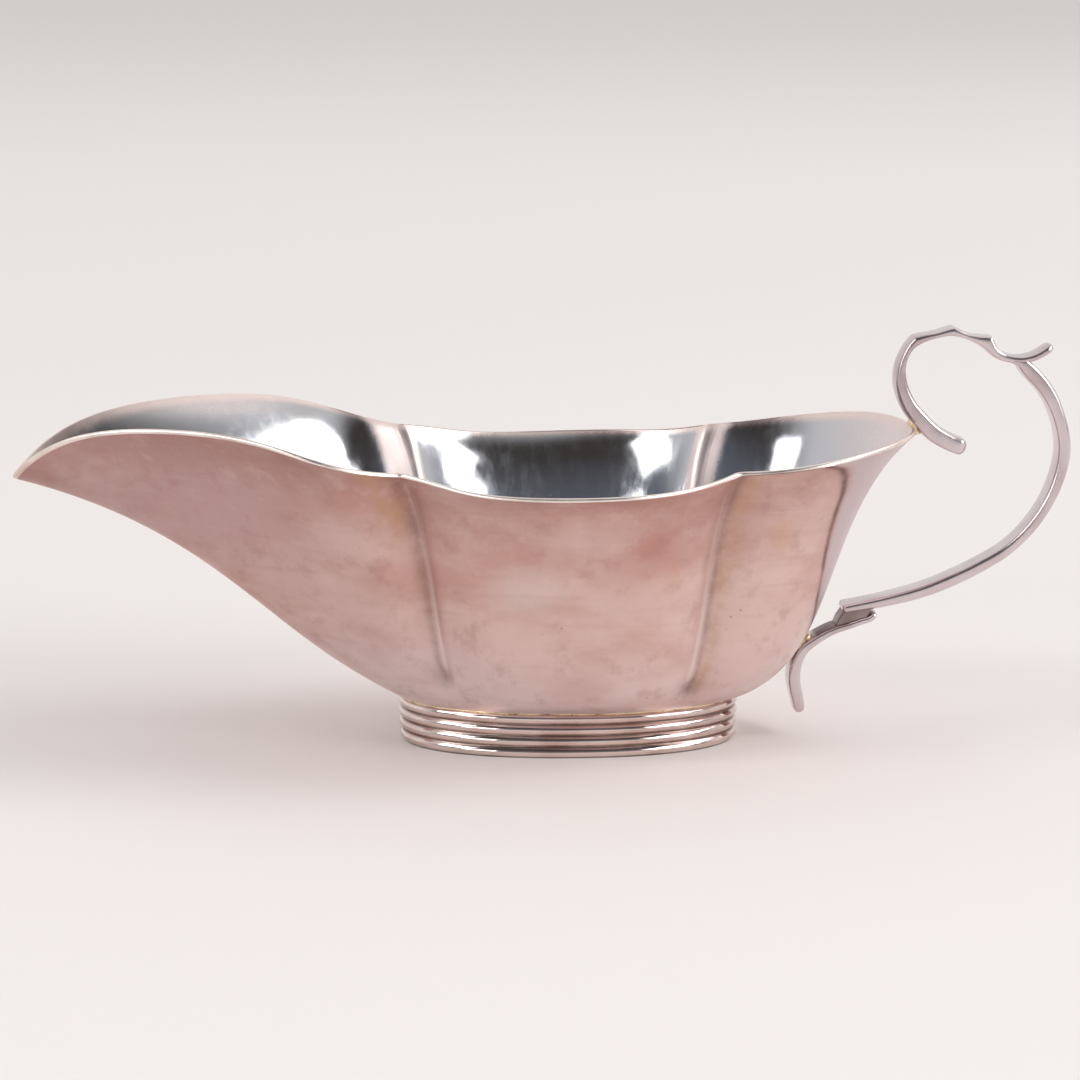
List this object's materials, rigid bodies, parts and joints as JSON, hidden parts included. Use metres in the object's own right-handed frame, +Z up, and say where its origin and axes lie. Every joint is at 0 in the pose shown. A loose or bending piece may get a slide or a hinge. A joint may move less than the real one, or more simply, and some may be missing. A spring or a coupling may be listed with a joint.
{
  "type": "sauce boat",
  "caption": "Lobed silver sauce boat with a long pouring lip, an oval reeded foot and a scrolled strap handle.",
  "frame": {"origin": "centre of the bounding box's base: on the plane that the foot stands on, under the middle of the whole length from the lip's tip to the back of the handle", "axes": "+Z up, +X from the lip towards the handle, +Y across the bowl; the plane y = 0 is the plane of symmetry"},
  "size_m": [0.1774, 0.0772, 0.0695],
  "materials": {
    "satin_silver": "satin silver with a pinkish tarnish",
    "bright_silver": "polished silver",
    "handle_silver": "softly polished silver"
  },
  "bodies": {
    "root": {"bowl": "satin_silver", "foot_collar": "bright_silver", "thumb_scroll": "handle_silver", "handle_loop": "handle_silver", "lower_bracket": "handle_silver"}
  },
  "joints": []
}
